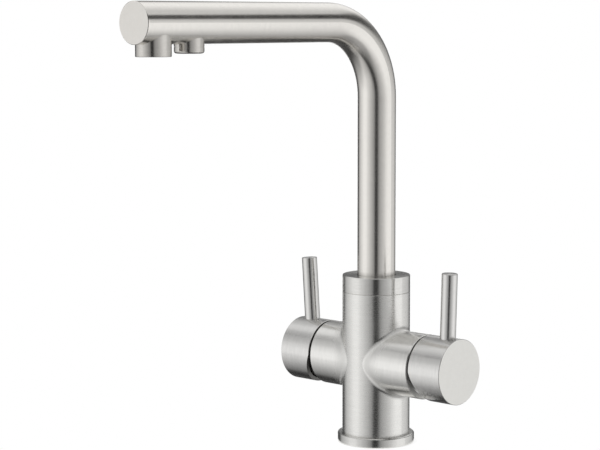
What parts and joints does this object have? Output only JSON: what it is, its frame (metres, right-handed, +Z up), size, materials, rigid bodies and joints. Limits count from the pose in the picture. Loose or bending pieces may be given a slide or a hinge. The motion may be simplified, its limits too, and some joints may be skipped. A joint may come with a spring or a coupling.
{
  "type": "mixer tap",
  "caption": "Brushed steel three-way kitchen tap: swivel spout with mixed and filtered water outlets and a pin-lever handle on each side arm.",
  "frame": {"origin": "centre of the base flange's underside, on the deck", "axes": "+Z up along the barrel, spout towards -Y, mixer handle on +X, filtered water handle on -X"},
  "size_m": [0.1536, 0.2644, 0.3238],
  "materials": {
    "brushed_body": "fine turned brushing round the barrel and along the arms",
    "brushed_spout": "fine brushed",
    "brushed_handle": "fine brushed",
    "satin_lever": "satin",
    "machined_steel": "as turned",
    "brass": "as turned",
    "ceramic": "lapped ceramic",
    "white_plastic": "moulded",
    "rubber": "matt"
  },
  "bodies": {
    "tap": {"base_flange": "brushed_body", "base_seal": "rubber", "inlet_block": "machined_steel", "tap_body": "brushed_body", "collar": "brushed_body", "collar_bush": "white_plastic", "lower_slip_ring": "white_plastic", "mixer_cartridge_base": "white_plastic", "mixer_port_seals": "rubber", "mixer_fixed_disc": "ceramic", "mixer_cartridge_housing": "white_plastic", "mixer_retaining_nut": "brass", "mixer_dome": "brushed_handle", "filter_cartridge_base": "white_plastic", "filter_port_seals": "rubber", "filter_fixed_disc": "ceramic", "filter_cartridge_housing": "white_plastic", "filter_retaining_nut": "brass", "filter_dome": "brushed_handle"},
    "spout": {"spout_base": "machined_steel", "spout_o_rings": "rubber", "spout_tube": "brushed_spout", "spout_end_cap": "brushed_spout", "filter_pipe": "machined_steel", "filter_stalk": "machined_steel", "stalk_o_ring": "rubber", "main_outlet": "brushed_spout", "aerator_shell": "white_plastic", "aerator_seal": "rubber", "aerator_grid": "white_plastic", "aerator_flow_plate": "white_plastic", "filter_outlet": "brushed_spout", "filter_nozzle": "white_plastic", "filter_nozzle_seal": "rubber"},
    "mixer_rotor": {"mixer_yoke": "brass", "mixer_tilt_pin": "machined_steel"},
    "mixer_handle": {"mixer_stem": "machined_steel", "mixer_cap": "brushed_handle", "mixer_lever": "satin_lever", "mixer_set_screw": "machined_steel"},
    "mixer_valve": {"mixer_moving_disc": "ceramic", "mixer_disc_carrier": "white_plastic"},
    "filter_rotor": {"filter_yoke": "brass", "filter_tilt_pin": "machined_steel"},
    "filter_handle": {"filter_stem": "machined_steel", "filter_cap": "brushed_handle", "filter_lever": "satin_lever", "filter_set_screw": "machined_steel"},
    "filter_valve": {"filter_moving_disc": "ceramic", "filter_disc_carrier": "white_plastic"}
  },
  "joints": [
    {"name": "spout_swivel", "type": "hinge", "parent": "tap", "child": "spout", "pos_m": [0, 0, 0.1], "axis": [0, 0, 1], "continuous": true},
    {"name": "mixer_turn", "type": "hinge", "parent": "tap", "child": "mixer_rotor", "pos_m": [0.0486, 0, 0.0615], "axis": [1, 0, 0], "range_deg": [-50, 50]},
    {"name": "mixer_tilt", "type": "hinge", "parent": "mixer_rotor", "child": "mixer_handle", "pos_m": [0.0426, 0, 0.0615], "axis": [0, 1, 0], "range_deg": [0, 18]},
    {"name": "mixer_disc_slide", "type": "slide", "parent": "mixer_rotor", "child": "mixer_valve", "axis": [0, 0, 1], "range_m": [0, 0.0034]},
    {"name": "filter_turn", "type": "hinge", "parent": "tap", "child": "filter_rotor", "pos_m": [-0.045, 0, 0.0615], "axis": [1, 0, 0], "range_deg": [-50, 50]},
    {"name": "filter_tilt", "type": "hinge", "parent": "filter_rotor", "child": "filter_handle", "pos_m": [-0.039, 0, 0.0615], "axis": [0, -1, 0], "range_deg": [0, 18]},
    {"name": "filter_disc_slide", "type": "slide", "parent": "filter_rotor", "child": "filter_valve", "axis": [0, 0, 1], "range_m": [0, 0.0034]}
  ],
  "couplings": [
    {"joint": "mixer_disc_slide", "follows": "mixer_tilt", "m_per_rad": 0.010688},
    {"joint": "filter_disc_slide", "follows": "filter_tilt", "m_per_rad": 0.010688}
  ]
}
